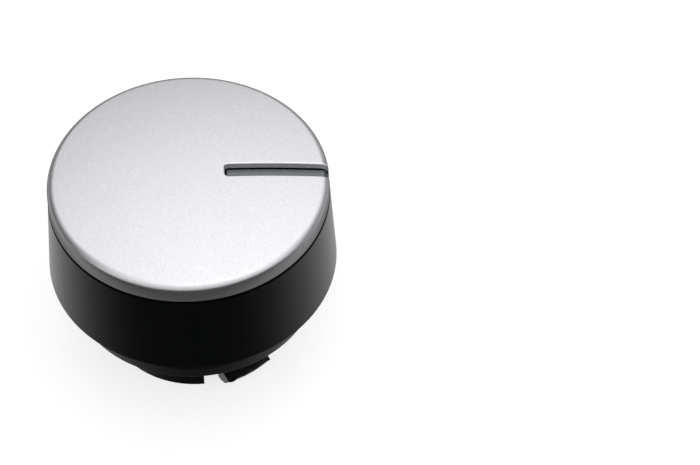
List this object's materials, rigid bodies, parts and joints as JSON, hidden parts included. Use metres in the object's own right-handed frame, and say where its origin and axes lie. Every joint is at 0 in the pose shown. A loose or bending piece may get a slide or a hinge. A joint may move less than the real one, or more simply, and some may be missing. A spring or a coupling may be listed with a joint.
{
  "type": "washing machine timer knob",
  "caption": "Round timer knob: silver crowned face cap with a pointer slot, black drafted skirt, panel collar, ring of snap fingers and a split D-shaft socket held by a spring ring.",
  "frame": {"origin": "on the knob's axis, in the plane of the snap-finger tips that it stands on", "axes": "+Z along the axis, out of the face; +X from the axis towards the pointer"},
  "size_m": [0.042, 0.042, 0.0327],
  "materials": {
    "silver_cap": "satin silver metallic paint on ABS",
    "black_plastic": "moulded, satin",
    "spring_steel": "rolled strip, bright"
  },
  "bodies": {
    "root": {"face_cap": "silver_cap", "knob_body": "black_plastic", "grip_ring": "spring_steel"}
  },
  "joints": []
}
